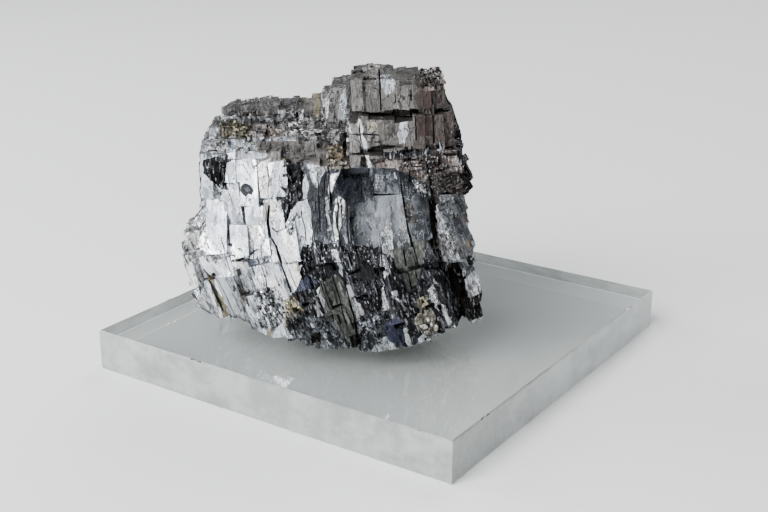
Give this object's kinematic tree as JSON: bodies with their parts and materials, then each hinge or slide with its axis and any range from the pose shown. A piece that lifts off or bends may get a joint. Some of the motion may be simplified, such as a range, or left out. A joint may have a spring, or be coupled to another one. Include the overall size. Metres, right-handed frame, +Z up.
{
  "type": "galena specimen on a clear display plate",
  "caption": "Cleaved lump of galena with flat metallic laths, a stepped terrace and a columnar tower, resting on a clear square plate.",
  "frame": {"origin": "middle of the display plate's underside", "axes": "+Z up; +X and +Y along the plate's sides; the galena's broad bright face looks out over the plate's corner at +X -Y"},
  "size_m": [0.05, 0.05, 0.0369],
  "materials": {
    "galena": "bright metallic cleavage faces, duller grey and brown where weathered",
    "clear_acrylic": "clear, polished top and underside, frosted sawn edges"
  },
  "bodies": {
    "root": {"galena": "galena", "display_plate": "clear_acrylic"}
  },
  "joints": []
}
